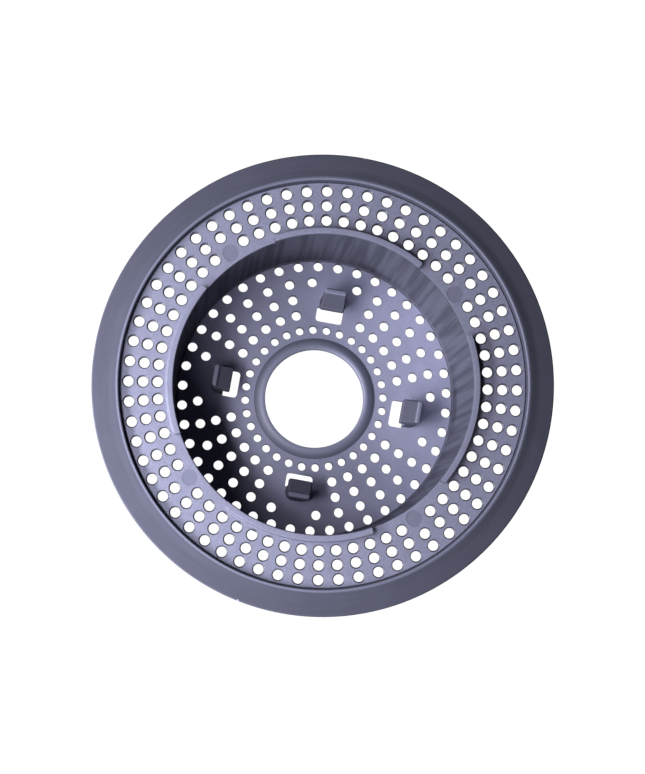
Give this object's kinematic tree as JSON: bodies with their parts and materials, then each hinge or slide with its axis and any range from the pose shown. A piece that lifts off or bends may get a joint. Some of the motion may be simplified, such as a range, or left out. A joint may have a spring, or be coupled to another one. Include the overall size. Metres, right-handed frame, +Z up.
{
  "type": "coarse filter",
  "caption": "Round one-piece coarse filter of a dishwasher sump: a perforated flange with a raised rim, and a straight-walled perforated bowl with a centre hole and four hooks.",
  "frame": {"origin": "on the bowl's axis, in the plane of the floor's underside, which the filter rests on", "axes": "+Z up along the bowl's axis, out of its mouth; the hooks stand on +X, +Y, -X and -Y"},
  "size_m": [0.19, 0.19, 0.0305],
  "materials": {
    "lavender_grey_plastic": "satin lavender-grey moulded plastic, fine-grained on the perforated faces, smoother on the rim, lips, wall and hooks"
  },
  "bodies": {
    "root": {"coarse_filter": "lavender_grey_plastic"}
  },
  "joints": []
}
